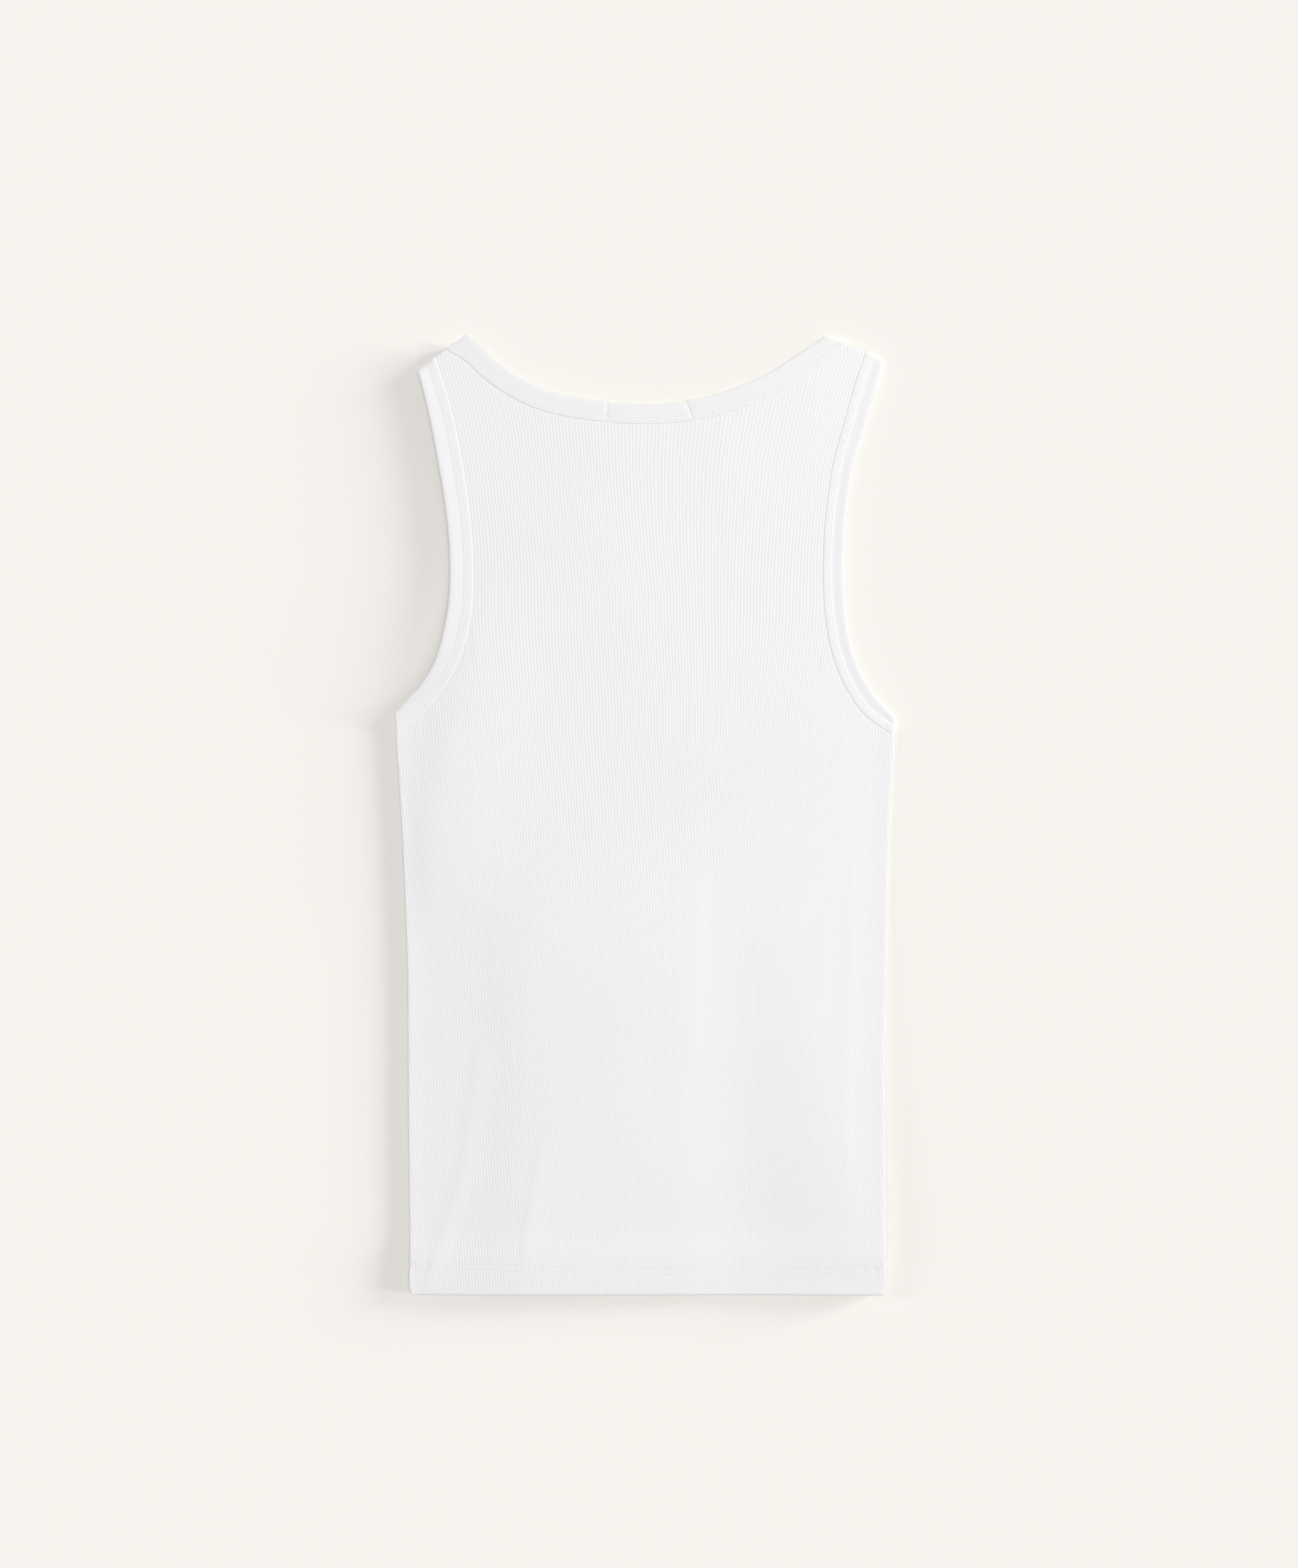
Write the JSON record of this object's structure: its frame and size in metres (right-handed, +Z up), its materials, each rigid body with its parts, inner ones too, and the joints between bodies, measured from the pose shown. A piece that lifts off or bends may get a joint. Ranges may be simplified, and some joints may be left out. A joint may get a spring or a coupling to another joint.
{
  "type": "tank top",
  "caption": "Ribbed knit tank top laid flat on its front, back uppermost, with folded knit bindings round the neck and armholes and a turned-up hem.",
  "frame": {"origin": "under the middle of the garment as it lies, on the surface that it lies on", "axes": "+X across the garment, towards the right as its back is seen; +Y from the hem to the shoulders; +Z up from the surface"},
  "size_m": [0.3436, 0.66, 0.0082],
  "materials": {
    "back_rib_knit": "white cotton rib knit, matt",
    "front_rib_knit": "white cotton rib knit, matt",
    "neck_binding_knit": "white smooth cotton knit, matt",
    "left_armhole_knit": "white smooth cotton knit, matt",
    "right_armhole_knit": "white smooth cotton knit, matt"
  },
  "bodies": {
    "root": {"back_panel": "back_rib_knit", "front_panel": "front_rib_knit", "neck_binding": "neck_binding_knit", "left_armhole_binding": "left_armhole_knit", "right_armhole_binding": "right_armhole_knit"}
  },
  "joints": []
}
